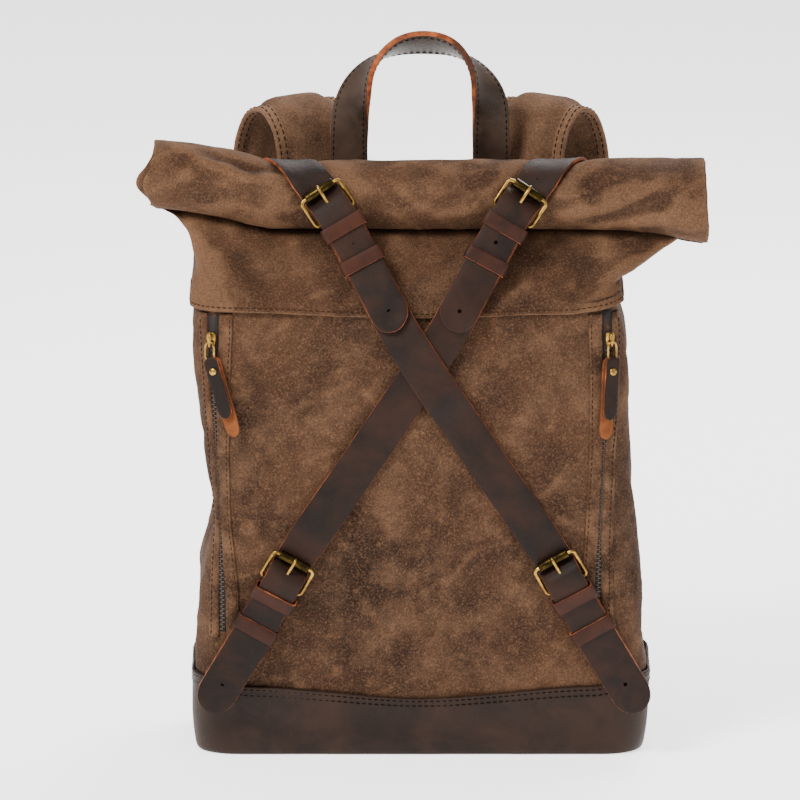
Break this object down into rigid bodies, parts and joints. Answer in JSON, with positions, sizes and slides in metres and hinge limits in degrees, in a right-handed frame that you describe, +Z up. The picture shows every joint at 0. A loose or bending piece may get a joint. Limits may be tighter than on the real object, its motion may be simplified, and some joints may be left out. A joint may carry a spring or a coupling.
{
  "type": "canvas backpack",
  "caption": "Waxed canvas rolltop backpack with crossing leather buckle straps, front zips, leather base, carry handle and padded shoulder straps",
  "frame": {"origin": "middle of the flat underside of the leather base, on the floor", "axes": "+Z up, -Y towards the front with the crossing straps, +X to the right as seen from the front"},
  "size_m": [0.376, 0.2115, 0.4677],
  "materials": {
    "canvas": "waxed, mottled",
    "base_leather": "fine grain, matt",
    "strap_leather": "oiled, orange cut edges",
    "brass": "antique",
    "webbing": "woven"
  },
  "bodies": {
    "root": {"canvas_body": "canvas", "roll_top_collar": "canvas", "leather_base": "base_leather", "over_strap_left": "strap_leather", "cross_strap_left": "strap_leather", "anchor_strap_left": "strap_leather", "buckle_top_left": "brass", "roller_top_left": "brass", "tongue_top_left": "brass", "keeper_top_left_1": "strap_leather", "keeper_top_left_2": "strap_leather", "buckle_bottom_left": "brass", "roller_bottom_left": "brass", "tongue_bottom_left": "brass", "keeper_bottom_left_1": "strap_leather", "keeper_bottom_left_2": "strap_leather", "placket_left": "canvas", "zip_left": "webbing", "zip_slider_left": "brass", "zip_ring_left": "brass", "zip_pull_left": "strap_leather", "zip_rivet_left": "brass", "over_strap_right": "strap_leather", "cross_strap_right": "strap_leather", "anchor_strap_right": "strap_leather", "buckle_top_right": "brass", "roller_top_right": "brass", "tongue_top_right": "brass", "keeper_top_right_1": "strap_leather", "keeper_top_right_2": "strap_leather", "buckle_bottom_right": "brass", "roller_bottom_right": "brass", "tongue_bottom_right": "brass", "keeper_bottom_right_1": "strap_leather", "keeper_bottom_right_2": "strap_leather", "placket_right": "canvas", "zip_right": "webbing", "zip_slider_right": "brass", "zip_ring_right": "brass", "zip_pull_right": "strap_leather", "zip_rivet_right": "brass", "carry_handle": "strap_leather", "shoulder_strap_left": "canvas", "webbing_left": "webbing", "adjuster_left": "brass", "shoulder_strap_right": "canvas", "webbing_right": "webbing", "adjuster_right": "brass"}
  },
  "joints": []
}
